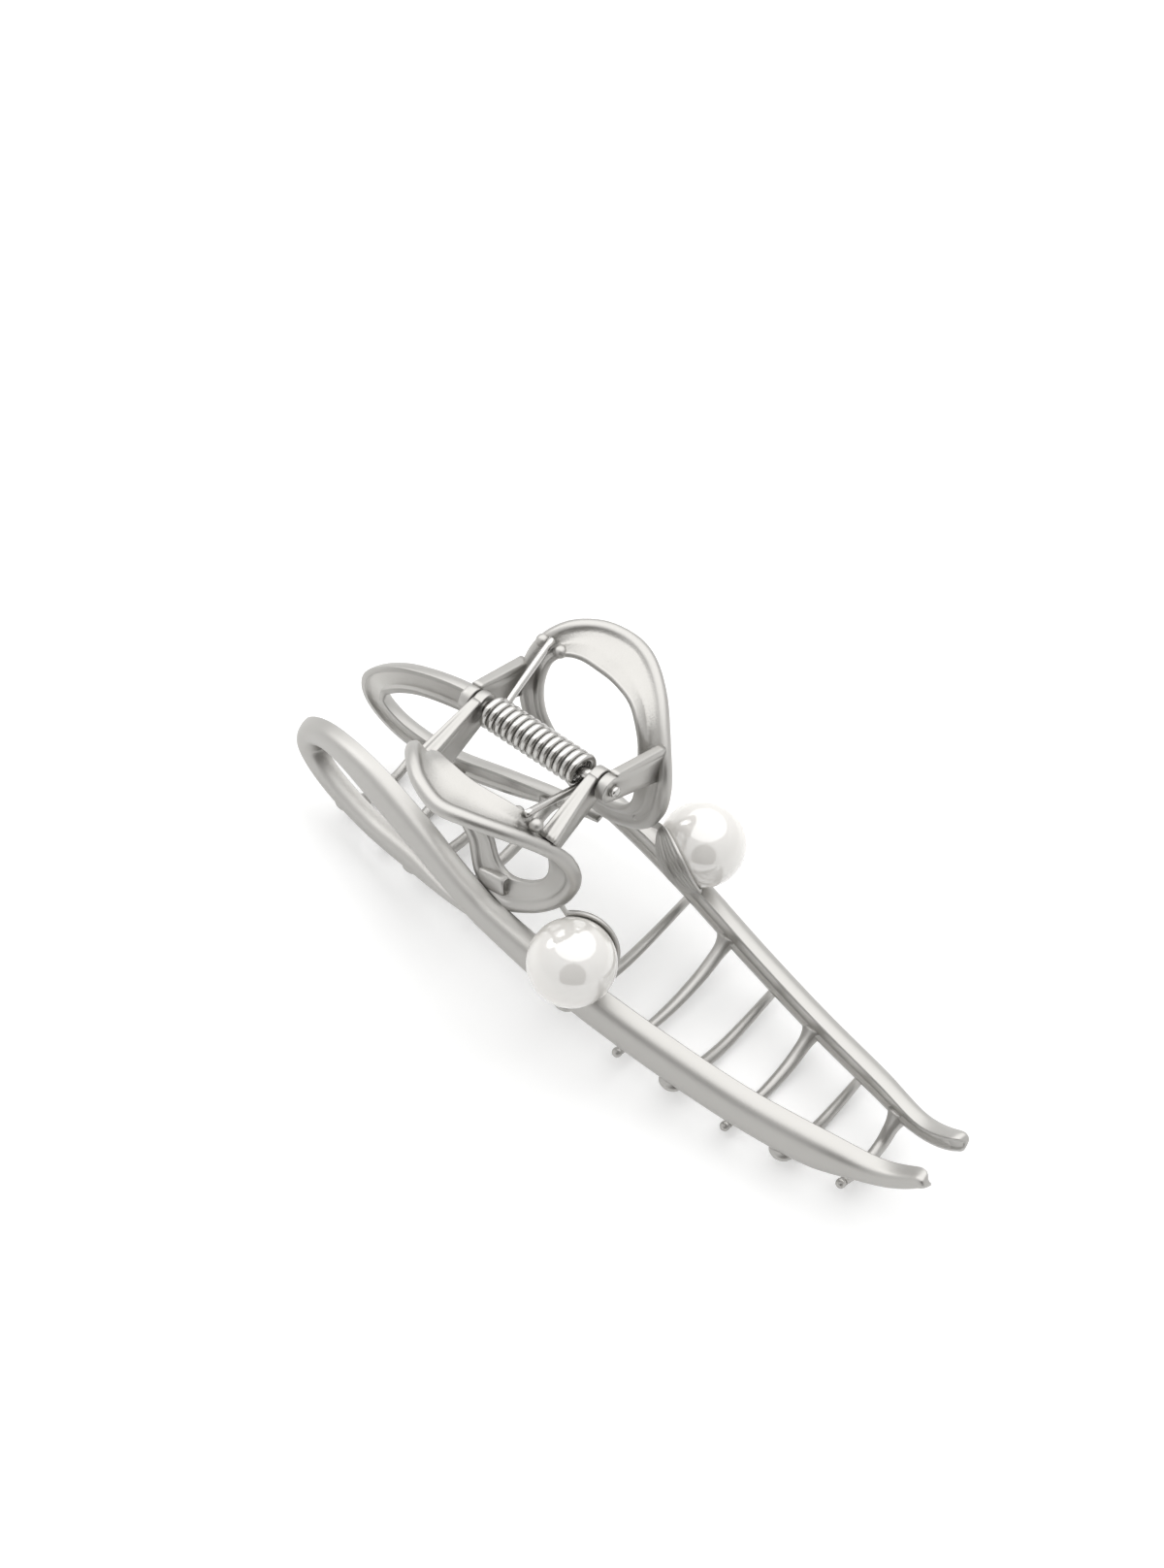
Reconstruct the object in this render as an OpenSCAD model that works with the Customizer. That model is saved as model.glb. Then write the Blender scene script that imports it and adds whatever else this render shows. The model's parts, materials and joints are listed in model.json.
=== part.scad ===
// Metal claw hair clip with two pearls.
// X runs along the clip, towards the tips. The rear half is on the +Y side, the front half on the -Y side.
// Everything is drawn around the hinge pin first, and then set down on the tips of its teeth.

/* [Jaws] */
// Reach of the jaws in front of the hinge, from the hinge to the tip
reach_front = 68.5; // [60:0.5:80]
// Reach of the hair loops behind the hinge
reach_back = 41; // [35:0.5:50]
// Depth of the jaws, from the hinge down to the top edge of the bars at their lowest
jaw_drop = 31; // [26:0.5:38]
// Distance from the middle of the clip to the bars where the clip is widest
jaw_half_gap = 11.2; // [10:0.1:13]
// Height of a bar's section
bar_h = 6.8; // [6:0.1:8.5]
// Depth of a bar's section, from its hollow back to its rounded face
bar_d = 2.7; // [2.3:0.1:3.5]
// Depth of the hollow in the back of a bar
bar_hollow = 1.1; // [0.5:0.1:1.5]

/* [Teeth] */
// Thickness of a tooth
tooth_d = 1.6; // [1.2:0.1:2]
// How far a tooth arches below its bar
tooth_arch = 3; // [2.4:0.1:4]
// Distance between teeth in front of the hinge, which belong to the two jaws in turn
front_pitch = 8.45; // [7.5:0.05:9]
// Distance between teeth under the hair loops
back_pitch = 7.5; // [6.5:0.05:8]

/* [Press tabs] */
// Width of a press tab
tab_w = 27.4; // [24:0.1:31]
// How far a tab's lip stands out past its upright plate
tab_flare = 10; // [7:0.1:12]
// Rise of a tab's lip above the hinge pin
tab_rise = 4; // [2.5:0.1:6]
// Thickness of a tab's plate
tab_t = 1.3; // [1:0.1:1.6]
// Thickness of the rounded bead on a tab's outer edge
bead_t = 2.1; // [1.8:0.1:2.5]

/* [Hinge] */
// Diameter of the hinge pin
pin_d = 1.6; // [1.2:0.1:2]
// Radial clearance of the pin in the ears
pin_clear = 0.05; // [0.03:0.01:0.1]
// Wall around the pin in an ear
ear_wall = 1.15; // [0.9:0.05:1.4]
// Thickness of an ear
ear_t = 1.5; // [1.2:0.1:1.8]
// Gap between an ear of the rear half and its neighbour on the front half
ear_gap = 0.3; // [0.2:0.05:0.5]
// Distance between the two ears of the front half
ear_span = 18.6; // [17:0.1:21]
// Length of pin that stands out past each outer ear
pin_out = 0.9; // [0.5:0.1:1.5]

/* [Spring] */
// Diameter of the spring wire
wire_d = 1.05; // [0.8:0.05:1.1]
// Outer diameter of the coil
coil_d = 4.9; // [4:0.1:5]
// Number of turns in the coil
coil_turns = 14; // [10:1:15]
// Pitch of the coil
coil_pitch = 1.15; // [1.1:0.01:1.2]

/* [Pearls] */
// Diameter of a pearl
pearl_d = 12; // [10:0.1:13]
// Thickness of the leaf behind a pearl
leaf_t = 0.9; // [0.7:0.05:1.2]
// Diameter of the peg that holds a pearl
peg_d = 1; // [0.8:0.1:1.4]

/* [Hidden] */
metal = "#b9b6b0";
wire_metal = "#d0cec9";
pearl_white = "#f4efe6";

// ---- smooth curves through a few chosen stations ----
function wrap(i, n, closed) = closed ? (i % n + n) % n : min(max(i, 0), n - 1);
function spline(p, t, closed = false) =
    let (n = len(p), i = floor(t), f = t - i,
        a = p[wrap(i - 1, n, closed)], b = p[wrap(i, n, closed)],
        c = p[wrap(i + 1, n, closed)], d = p[wrap(i + 2, n, closed)])
    0.5 * (2 * b + (c - a) * f + (2 * a - 5 * b + 4 * c - d) * f * f + (3 * b - a - 3 * c + d) * f * f * f);
function unit(v) = v / norm(v);
function mean(p) = [for (k = [0:len(p[0]) - 1]) [for (q = p) q[k]] * [for (q = p) 1] / len(p)];

// A skin over rings of points. An open skin is capped at both ends, around the middle of its end ring.
module skin(rings, closed = false) {
    n = len(rings);
    m = len(rings[0]);
    last = closed ? n - 1 : n - 2;
    flat = [for (r = rings) each r];
    points = closed ? flat : concat(flat, [mean(rings[0]), mean(rings[n - 1])]);
    walls = [for (i = [0:last]) for (j = [0:m - 1]) let (i2 = (i + 1) % n, j2 = (j + 1) % m)
        each [[i * m + j, i * m + j2, i2 * m + j2], [i * m + j, i2 * m + j2, i2 * m + j]]];
    end = (n - 1) * m;
    caps = [for (j = [0:m - 1]) let (j2 = (j + 1) % m)
        each [[j2, j, n * m], [end + j, end + j2, n * m + 1]]];
    faces = closed ? walls : concat(walls, caps);
    volumes = [for (f = faces) cross(points[f[0]], points[f[1]]) * points[f[2]]];
    inside_out = volumes * [for (v = volumes) 1] > 0;
    polyhedron(points, inside_out ? [for (f = faces) [f[0], f[2], f[1]]] : faces);
}

// ---- jaw bar and hair loop ----
// Stations along the outer rim, from the tip, over the top of the loop and back under the bar:
// share of the reach, share of the half gap, share of the drop, share of the section's height, share of
// its depth, lean
jaw_stations = [
    [0.976, 0.305, 0.885, 0.25, 0.6, 8], [0.955, 0.26, 0.945, 0.4, 0.8, 10],
    [0.88, 0.315, 1.025, 0.59, 0.9, 12], [0.77, 0.448, 1.01, 0.97, 1, 14], [0.6, 0.625, 0.98, 1, 1, 14],
    [0.42, 0.785, 0.9, 1, 1, 14], [0.24, 0.935, 0.79, 0.97, 1, 13], [0.08, 1, 0.69, 0.85, 1, 12],
    [-0.1, 0.99, 0.58, 0.8, 1, 11], [-0.3, 0.9, 0.475, 0.89, 0.95, 11],
    [-0.56, 0.77, 0.395, 0.93, 0.9, 9], [-0.8, 0.62, 0.43, 0.75, 0.9, 6],
    [-0.955, 0.53, 0.55, 0.66, 0.9, 3], [-1, 0.52, 0.7, 0.66, 0.9, 3],
    [-0.95, 0.53, 0.83, 0.66, 0.9, 3], [-0.82, 0.57, 0.925, 0.63, 0.9, 3],
    [-0.62, 0.66, 0.965, 0.6, 0.9, 4], [-0.38, 0.8, 0.93, 0.6, 0.9, 6],
    [-0.18, 0.94, 0.87, 0.34, 0.8, 8], [-0.03, 1.02, 0.84, 0.1, 0.5, 8]];
jaw_steps = 4;
function jaw_rim(t) = let (s = spline(jaw_stations, t))
    [s[0] * (s[0] > 0 ? reach_front : reach_back), s[1] * jaw_half_gap, -s[2] * jaw_drop];
function jaw_section(t) = let (s = spline(jaw_stations, t)) [s[3] * bar_h, s[4] * bar_d, s[5]];
function jaw_along(t) = unit(jaw_rim(t + 0.05) - jaw_rim(t - 0.05));
function jaw_out(t) = let (lean = jaw_section(t)[2]) [0, cos(lean), sin(lean)];
function jaw_across(t) = unit(cross(jaw_along(t), jaw_out(t)));
// A point of the section: n out of the rim's plane, u across from the rim as a share of the section's height
function jaw_point(t, n, u) = jaw_rim(t) + n * jaw_out(t) + u * jaw_section(t)[0] * jaw_across(t);
rim_u = 0.13;
function hollow(t) = bar_hollow * min(1, max(0.02, t - 0.6));
function jaw_ring(t) = let (s = jaw_section(t)) [
    for (k = [0:6]) jaw_point(t, s[1] * sin(180 * pow(k / 6, 0.8)), k / 6),
    jaw_point(t, 0, 1 - rim_u), jaw_point(t, hollow(t), 1 - 2 * rim_u),
    jaw_point(t, hollow(t), 2 * rim_u), jaw_point(t, 0, rim_u)];
jaw_last = len(jaw_stations) - 1;

// The lower edge of a jaw: the bar's bottom in front, the loop's lower rim behind
front_edge = [for (t = [8:-0.25:0.5]) let (p = jaw_point(t, 0, 1)) [p[0], p[1], p[2]]];
back_edge = [for (t = [13.5:0.25:18.25]) let (p = jaw_rim(t)) [p[0], p[1], p[2]]];
lower_edge = concat(back_edge, front_edge);
function edge_y(x) = lookup(x, [for (p = lower_edge) [p[0], p[1]]]);
function edge_z(x) = lookup(x, [for (p = lower_edge) [p[0], p[2]]]);

// Teeth, counted from the back: even ones belong to the front jaw, odd ones to the rear jaw
back_teeth = [for (k = [0:3]) -0.78 * reach_back + back_pitch * k];
front_teeth = [for (k = [0:5]) 0.2 * reach_front + front_pitch * k];
function teeth_of(side) = [for (list = [back_teeth, front_teeth]) for (k = [0:len(list) - 1])
    if (k % 2 == side) list[k]];
tooth_steps = 10;
tooth_sides = 9;
ball_steps = 4;
// The floor runs under the last tooth behind and the next to last one in front, and the teeth
// beside them reach down to it
heel_x = back_teeth[0];
toe_x = front_teeth[4];
floor_slope = (edge_z(toe_x) - edge_z(heel_x)) / (toe_x - heel_x);
arch_spare = 1.1;
function floor_gap(x) = edge_z(x) - edge_z(heel_x) - floor_slope * (x - heel_x);
function arch(x) = min(arch_spare * tooth_arch, floor_gap(x) + tooth_arch);
// How far the end of a tooth passes the opposite jaw's edge: behind the hinge it stops short of it, and in
// front the front jaw's teeth reach further than the rear jaw's
function past_edge(x) = x < 0 ? -1 : round((x - front_teeth[0]) / front_pitch) % 2 == 0 ? 1.4 : 0;
// The tooth's path in its own plane: from the bar, down in an arch and under the opposite bar
function tooth_path(x) = let (y = edge_y(x), z = edge_z(x), a = arch(x)) [
    [y - 0.3, z + 0.9], [y * 0.93 - 0.6, z - 0.25 * a], [y * 0.5, z - 0.75 * a],
    [0, z - a], [-y * 0.5, z - 0.9 * a], [-y - past_edge(x), z - 0.6 * a]];
function tooth_point(x, t) = let (q = spline(tooth_path(x), t)) [x, q[0], q[1]];
function tooth_ring(x, t, r, on) = let (
    along = unit(tooth_point(x, t + 0.05) - tooth_point(x, t - 0.05)),
    side = [1, 0, 0], up = cross(along, side))
    [for (k = [0:tooth_sides - 1]) tooth_point(x, t) + on * along
        + r * (cos(360 * k / tooth_sides) * side + sin(360 * k / tooth_sides) * up)];
// A tooth flares at its root, thins towards its end and closes in a small ball
tooth_end = 5;
ball_r = 0.45 * tooth_d;
function tooth_r(t) = tooth_d / 2 * (1.35 - 0.11 * t + 0.3 * pow(max(0, 1 - t / 1.2), 2));
function tooth_rings(x) = concat(
    [for (i = [0:tooth_steps]) let (t = tooth_end * i / tooth_steps)
        tooth_ring(x, t, tooth_r(t), 0)],
    [for (i = [0:ball_steps - 1]) let (a = -45 + 130 * i / (ball_steps - 1))
        tooth_ring(x, tooth_end, ball_r * cos(a), ball_r * (0.75 + sin(a)))]);

// ---- the pose: turned until the floor is level, with the origin at the bottom in the middle ----
stand_turn = atan(floor_slope);
bar_points = [for (i = [0:jaw_last * jaw_steps]) each jaw_ring(i / jaw_steps)];
bar_x = [for (p = bar_points) p[0] * cos(stand_turn) + p[2] * sin(stand_turn)];
feet_z = [for (x = concat(back_teeth, front_teeth)) for (ring = tooth_rings(x)) for (p = ring)
    p[2] * cos(stand_turn) - p[0] * sin(stand_turn)];
module rear() translate([-(min(bar_x) + max(bar_x)) / 2, 0, -min(feet_z)])
    rotate([0, stand_turn, 0]) children();
module front() rear() mirror([0, 1, 0]) children();

module jaw() skin([for (i = [0:jaw_last * jaw_steps]) jaw_ring(i / jaw_steps)]);
module teeth(side) for (x = teeth_of(side)) skin(tooth_rings(x));

// ---- shape of the press tab ----
// Stations around the ring, each as its outer edge and the edge of the finger hole:
// share of the half width, share of the flare, height as a share: 0 at the foot, 1 at the lip
tab_mid = -0.5;
tab_plate_y = 10;
tab_foot_z = -21;
tab_outer = [
    [-0.1, 1, 1], [0.2, 0.9, 0.98], [0.5, 0.64, 0.9], [0.76, 0.3, 0.78], [0.95, 0.03, 0.66],
    [1, -0.1, 0.51], [0.94, -0.11, 0.36], [0.76, -0.07, 0.19], [0.46, 0.03, 0.05], [0.1, 0.09, -0.03],
    [-0.24, 0.02, 0.07], [-0.43, -0.12, 0.26], [-0.65, -0.14, 0.4], [-0.87, -0.1, 0.55],
    [-0.97, 0.08, 0.74], [-0.9, 0.3, 0.92], [-0.7, 0.6, 1.02], [-0.42, 0.88, 1.03]];
tab_inner = [
    [-0.13, 0.26, 0.96], [0.08, 0.24, 0.95], [0.32, 0.16, 0.92], [0.48, 0.04, 0.84],
    [0.58, -0.06, 0.7], [0.61, -0.14, 0.53], [0.59, -0.16, 0.39], [0.49, -0.15, 0.28],
    [0.3, -0.12, 0.2], [0.1, -0.1, 0.17], [-0.06, -0.13, 0.22], [-0.18, -0.18, 0.34],
    [-0.38, -0.18, 0.46], [-0.56, -0.16, 0.6], [-0.64, -0.08, 0.75], [-0.64, 0.08, 0.87],
    [-0.53, 0.18, 0.94], [-0.35, 0.24, 0.97]];
function tab_place(s) = [tab_mid + s[0] * tab_w / 2, tab_plate_y + s[1] * tab_flare,
    tab_foot_z + s[2] * (tab_rise - tab_foot_z)];
tab_last = len(tab_outer) - 1;
tab_steps = 3;
function tab_ring(t) = let (
    o = tab_place(spline(tab_outer, t, true)), i = tab_place(spline(tab_inner, t, true)),
    o1 = tab_place(spline(tab_outer, t + 0.1, true)), o0 = tab_place(spline(tab_outer, t - 0.1, true)),
    across = unit(o - i), w = norm(o - i), face = unit(cross(o1 - o0, across)),
    h = tab_t / 2, b = bead_t / 2)
    [for (q = [[0, -h * 0.7], [0.5, -h - 0.3], [1.1, -h], [w - bead_t - 0.4, -h], [w - bead_t, -b],
        [w - b * 0.6, -b], [w, 0], [w - b * 0.6, b], [w - bead_t, b * 0.9], [1.1, h], [0.4, h * 0.9]])
        i + q[0] * across + q[1] * face];

// ---- pearl and leaf ----
pearl_t = 6.06;
seat_gap = 0.05;
pearl_r = pearl_d / 2;
// The pearl rests on the bar's rim, leaning outwards
pearl_lean = 28;
pearl_at = jaw_rim(pearl_t) + (pearl_r + seat_gap) * [0, sin(pearl_lean), cos(pearl_lean)];
// Direction from the pearl's middle to the leaf's middle, and the run of the leaf's rib
leaf_dir = unit([0.13, -0.96, 0.25]);
rib_run = [0.78, 0, -0.62];
rib_dir = unit(rib_run - (rib_run * leaf_dir) * leaf_dir);
side_dir = cross(leaf_dir, rib_dir);
function leaf_axes(p) = [rib_dir * p, side_dir * p, leaf_dir * p];
function leaf_place(a, w, r) = pearl_at
    + r * (sin(a) * cos(w) * rib_dir + sin(w) * side_dir + cos(a) * cos(w) * leaf_dir);
module leaf_frame()
    multmatrix([for (k = [0:2]) [rib_dir[k], side_dir[k], leaf_dir[k], pearl_at[k]]]) children();

// The stem leaves the tab and runs into the leaf, which hugs the pearl as far as its tip
leaf_start = -52;
leaf_tip = 74;
leaf_wide = 21;
// The leaf starts low and bends down along its length, so that its tip lands on the bar
leaf_low = 9;
leaf_bend = 25;
stem_r = 0.75;
leaf_r = pearl_r + seat_gap + leaf_t / 2;
leaf_parts = 12;
stem_parts = 4;
leaf_sides = 12;
stem_foot = leaf_axes((tab_place(tab_inner[7]) + tab_place(tab_outer[7])) / 2 - pearl_at);
stem_from = atan2(stem_foot[0], stem_foot[2]);
function leaf_ring(a, w, r, half_w, half_t) = [for (k = [0:leaf_sides - 1]) let (c = 360 * k / leaf_sides)
    leaf_place(a, w + half_w * cos(c), r + half_t * sin(c))];
module leaf() {
    foot_w = asin(stem_foot[1] / norm(stem_foot));
    stem = [for (i = [0:stem_parts - 1]) let (f = i / stem_parts, g = f * f * (3 - 2 * f))
        leaf_ring(stem_from + (leaf_start - stem_from) * f, foot_w * (1 - g) - leaf_low * g,
            norm(stem_foot) * (1 - g) + leaf_r * g, stem_r / leaf_r * 57,
            stem_r * (1 - g) + leaf_t / 2 * g)];
    blade = [for (i = [0:leaf_parts]) let (f = i / leaf_parts)
        leaf_ring(leaf_start + (leaf_tip - leaf_start) * f, -leaf_low - leaf_bend * f * f, leaf_r,
            max(0.4, stem_r / leaf_r * 57 * (1 - f) + leaf_wide * pow(sin(180 * pow(f, 0.85)), 0.9)),
            leaf_t / 2)];
    skin(concat(stem, blade));
    leaf_frame() translate([0, 0, pearl_r - 3]) cylinder(d = peg_d, h = 3 + leaf_t / 2, $fn = 32);
}

module pearl() {
    leaf_frame() difference() {
        sphere(r = pearl_r, $fn = 64);
        translate([0, 0, pearl_r - 3.2]) cylinder(d = peg_d + 2 * pin_clear, h = 4, $fn = 32);
    }
}

// ---- press tab ----
module press_tab() skin([for (i = [0:(tab_last + 1) * tab_steps - 1]) tab_ring(i / tab_steps)], true);

// ---- hinge ears, with exact bores ----
bore_d = pin_d + 2 * pin_clear;
boss_r = bore_d / 2 + ear_wall;
hinge_mid = -1.5;
ear_top = [tab_plate_y + 0.4, -2.1];
ear_low = [tab_plate_y - 0.3, -6.5];
module ear(x) {
    translate([x - ear_t / 2, 0, 0]) rotate([90, 0, 90]) linear_extrude(ear_t) difference() {
        union() {
            circle(boss_r, $fn = 40);
            polygon([[0.3, boss_r * 0.98], ear_top, ear_low, [-0.9, -boss_r * 0.8]]);
        }
        circle(d = bore_d, $fn = 40);
    }
}
front_ear_x = ear_span / 2 + ear_t / 2;
rear_ear_x = front_ear_x + ear_t + ear_gap;
module ears(x) for (s = [-1, 1]) ear(hinge_mid + s * x);

pin_half = rear_ear_x + ear_t / 2 + pin_out;
module pin() translate([hinge_mid - pin_half, 0, 0]) rotate([0, 90, 0])
    cylinder(d = pin_d, h = 2 * pin_half, $fn = 40);

// ---- torsion spring ----
coil_r = (coil_d - wire_d) / 2;
coil_l = coil_turns * coil_pitch;
coil_left = hinge_mid - coil_l / 2 - 0.3;
coil_right = coil_left + coil_l;
// Each leg leaves the bottom of the coil and rests on a lip between two small nubs: how far out and up
front_seat = [11.6, 1.95];
rear_seat = [12.3, 4.05];
wire_sides = 8;
turn_steps = 14;
// The rear leg leaves the coil's left end, the front leg its right end
spring_path = concat([[coil_left - 0.1, rear_seat[0], rear_seat[1]]],
    [for (i = [0:coil_turns * turn_steps]) let (a = -90 - 360 * i / turn_steps)
        [coil_left + coil_pitch * i / turn_steps, coil_r * cos(a), coil_r * sin(a)]],
    [[coil_right + 0.2, -front_seat[0], front_seat[1]]]);
spring_last = len(spring_path) - 1;
module spring() skin([for (i = [0:spring_last]) let (
    along = unit(spring_path[min(i + 1, spring_last)] - spring_path[max(i - 1, 0)]),
    side = unit(cross(along, [0.6, 0.01, 1])), up = cross(side, along))
    [for (k = [0:wire_sides - 1]) let (a = 360 * k / wire_sides)
        spring_path[i] + wire_d / 2 * (cos(a) * side + sin(a) * up)]]);

nub_d = 1.9;
nub_x = wire_d / 2 + nub_d / 2 + 0.1;
nub_sink = 1.15;
module stops(x, seat) for (s = [-1, 1]) translate([x + s * nub_x, seat[0] - 0.3, seat[1] - nub_sink])
    sphere(d = nub_d, $fn = 24);

color(metal) front() jaw();  // front_jaw
color(metal) front() teeth(0);  // front_teeth
color(metal) front() press_tab();  // front_press_tab
color(metal) front() ears(front_ear_x);  // front_hinge_ears
color(metal) front() stops(coil_right + 0.2, front_seat);  // front_spring_stops
color(metal) front() leaf();  // front_leaf
color(pearl_white) front() pearl();  // front_pearl
color(metal) rear() jaw();  // rear_jaw
color(metal) rear() teeth(1);  // rear_teeth
color(metal) rear() press_tab();  // rear_press_tab
color(metal) rear() ears(rear_ear_x);  // rear_hinge_ears
color(metal) rear() stops(coil_left - 0.1, rear_seat);  // rear_spring_stops
color(metal) rear() leaf();  // rear_leaf
color(pearl_white) rear() pearl();  // rear_pearl
color(wire_metal) rear() pin();  // hinge_pin
color(wire_metal) rear() spring();  // torsion_spring
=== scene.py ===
# %% [markdown]
# A metal claw hair clip with two pearls. Each half is a single casting: a long jaw bar that bends back into
# a hair loop, a row of curved teeth, a ring to press with the fingers, two ears for the hinge, and a leaf
# that carries a pearl. A pin and a torsion spring join the halves. The construction model gives the hinge
# and the outer box, and this file draws the visible surfaces.

# %% Load the construction model
import math
import json

import bmesh
import bpy
import numpy as np
from mathutils import Matrix, Vector


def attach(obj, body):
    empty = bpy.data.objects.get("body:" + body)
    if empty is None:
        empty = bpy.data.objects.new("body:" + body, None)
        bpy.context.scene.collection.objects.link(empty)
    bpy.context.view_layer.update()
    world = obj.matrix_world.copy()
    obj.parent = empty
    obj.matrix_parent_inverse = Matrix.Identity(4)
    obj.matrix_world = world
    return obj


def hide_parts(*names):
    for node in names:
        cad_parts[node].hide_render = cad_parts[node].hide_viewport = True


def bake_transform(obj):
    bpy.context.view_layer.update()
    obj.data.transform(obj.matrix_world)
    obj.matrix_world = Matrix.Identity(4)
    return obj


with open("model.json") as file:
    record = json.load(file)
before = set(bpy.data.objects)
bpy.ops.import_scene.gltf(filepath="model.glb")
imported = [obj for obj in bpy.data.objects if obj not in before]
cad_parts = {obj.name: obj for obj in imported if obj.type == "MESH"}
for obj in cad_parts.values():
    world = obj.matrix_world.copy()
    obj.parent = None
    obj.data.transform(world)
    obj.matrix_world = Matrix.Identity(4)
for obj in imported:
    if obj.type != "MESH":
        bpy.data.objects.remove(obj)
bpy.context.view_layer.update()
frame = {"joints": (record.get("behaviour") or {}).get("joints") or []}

# %% [markdown]
# The clip is easiest to draw around its hinge: the origin on the pin's axis, X along the pin towards the
# tips, Y out towards the rear half and Z up, in millimetres. The whole clip then leans a little, because it
# stands on its teeth. The hinge joint of the construction model says where the axis is, so one small
# function moves every point from the hinge's frame to the scene.

# %% The hinge's frame
MM = 0.001
PIN_MIDDLE = -1.5
hinge = frame["joints"][0]
along = -np.array(hinge["axis"], float)
along /= np.linalg.norm(along)
upright = np.cross(along, [0, 1, 0])
hinge_origin = np.array(hinge["pos_m"], float) - PIN_MIDDLE * MM * along
to_scene = np.column_stack([along, [0, 1, 0], upright])
print("the hinge leans", round(math.degrees(math.atan2(along[2], along[0])), 2), "degrees")


def scene_point(p):
    return hinge_origin + to_scene @ (np.array(p, float) * MM)


# %% [markdown]
# The camera stands in front of the clip on the side of its tips, and looks down at it. Its place and its
# line of sight were found in the hinge's frame, so they go through the same function. The lens is long, as
# for a small thing on a table.

# %% Camera
CAMERA_AT = (168.94, -187.32, 281.23)
TURN, RISE = math.radians(41.045), math.radians(48.82)
SENSOR_MM, FOCAL_MM = 36, 66.8317
sight = np.array([-math.sin(TURN) * math.cos(RISE), math.cos(TURN) * math.cos(RISE), -math.sin(RISE)])
right = np.array([math.cos(TURN), math.sin(TURN), 0.0])
above = np.cross(right, sight)
lens = bpy.data.cameras.new("camera")
lens.sensor_fit = "VERTICAL"
lens.sensor_height = SENSOR_MM
lens.lens = FOCAL_MM
lens.clip_start = 0.01
camera = bpy.data.objects.new("camera", lens)
bpy.context.scene.collection.objects.link(camera)
turned = to_scene @ np.column_stack([right, above, -sight])
camera.matrix_world = Matrix.Translation(Vector(scene_point(CAMERA_AT))) @ Matrix(turned.tolist()).to_4x4()
bpy.context.scene.camera = camera
bpy.context.scene.view_settings.view_transform = "Standard"
print("camera at", [round(float(v), 3) for v in camera.matrix_world.translation])

# %% [markdown]
# Node materials are easier to read as sums than as boxes and wires. The class below wraps one output of a
# node. An expression such as 1 - mask * 0.5 then adds the Math nodes for itself. Colours are mixed with a
# Mix node, because a Math node would turn them grey. Every other node comes from one function, node().


# %% A small class for shader sums
class Wire:
    def __init__(self, tree, socket):
        self.tree = tree
        self.socket = socket

    def maths(self, operation, a, b):
        return node(self.tree, "ShaderNodeMath", {"operation": operation}, {0: a, 1: b})

    def __add__(self, other):
        return self.maths("ADD", self, other)

    def __radd__(self, other):
        return self.maths("ADD", other, self)

    def __sub__(self, other):
        return self.maths("SUBTRACT", self, other)

    def __rsub__(self, other):
        return self.maths("SUBTRACT", other, self)

    def __mul__(self, other):
        return self.maths("MULTIPLY", self, other)

    def __rmul__(self, other):
        return self.maths("MULTIPLY", other, self)

    def out(self, name):
        return Wire(self.tree, self.socket.node.outputs[name])


def node(tree, kind, settings={}, values={}):
    made = tree.nodes.new(kind)
    for name, value in settings.items():
        setattr(made, name, value)
    for key, value in values.items():
        if isinstance(value, Wire):
            tree.links.new(value.socket, made.inputs[key])
        else:
            made.inputs[key].default_value = value
    return Wire(tree, next((s for s in made.outputs if s.enabled), None))


def new_material(name):
    material = bpy.data.materials.new(name)
    material.use_nodes = True
    material.node_tree.nodes.clear()
    return material, material.node_tree


def noise(tree, place, scale, detail=2.0, rough=0.5):
    values = {"Vector": place, "Scale": scale, "Detail": detail, "Roughness": rough}
    return node(tree, "ShaderNodeTexNoise", {}, values)


def blend_colours(tree, amount, a, b):
    values = {0: amount, 6: (*a, 1), 7: (*b, 1)}
    return node(tree, "ShaderNodeMix", {"data_type": "RGBA"}, values).out("Result")


def finish_material(tree, shader):
    node(tree, "ShaderNodeOutputMaterial", {}, {"Surface": shader})


print("a wire knows", [name for name in vars(Wire) if name.endswith(("add__", "sub__", "mul__"))])

# %% [markdown]
# The light is a plain product studio: one wide soft lamp overhead and behind, a weaker one from the left,
# and a white room. The camera sees the room as white, and so does the metal, which would look black in a
# dark one. For the light that falls on matt things the room is dimmer, so that nothing turns pale. A round
# grey card stands below the camera. Glossy pearls mirror it as a soft dark spot, just as they mirror a
# person who looks at them.

# %% Room and lamps
def around(count):
    return np.linspace(0, 2 * math.pi, count, endpoint=False)


scene = bpy.context.scene
world = bpy.data.worlds.new("studio")
scene.world = world
world.use_nodes = True
room = world.node_tree
room.nodes.clear()
direction = node(room, "ShaderNodeTexCoord").out("Generated")
height = node(room, "ShaderNodeSeparateXYZ", {}, {0: direction}).out("Z")
rays = node(room, "ShaderNodeLightPath")
sky = node(room, "ShaderNodeMapRange", {"interpolation_type": "SMOOTHSTEP"},
           {"Value": height, "From Min": -0.1, "From Max": 0.9, "To Min": 0.28, "To Max": 0.5})
mirrored = rays.out("Is Glossy Ray") + rays.out("Is Transmission Ray")
seen = rays.out("Is Camera Ray") + mirrored
strength = seen + (1 - seen) * sky
room_light = node(room, "ShaderNodeBackground", {}, {"Color": (1, 1, 1, 1), "Strength": strength})
node(room, "ShaderNodeOutputWorld", {}, {"Surface": room_light})


def soft_lamp(name, place, aim, size, power):
    data = bpy.data.lights.new(name, "AREA")
    data.shape = "DISK"
    data.size = size
    data.energy = power
    lamp = bpy.data.objects.new(name, data)
    scene.collection.objects.link(lamp)
    lamp.location = place
    lamp.rotation_euler = (Vector(aim) - Vector(place)).to_track_quat("-Z", "Y").to_euler()


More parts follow.
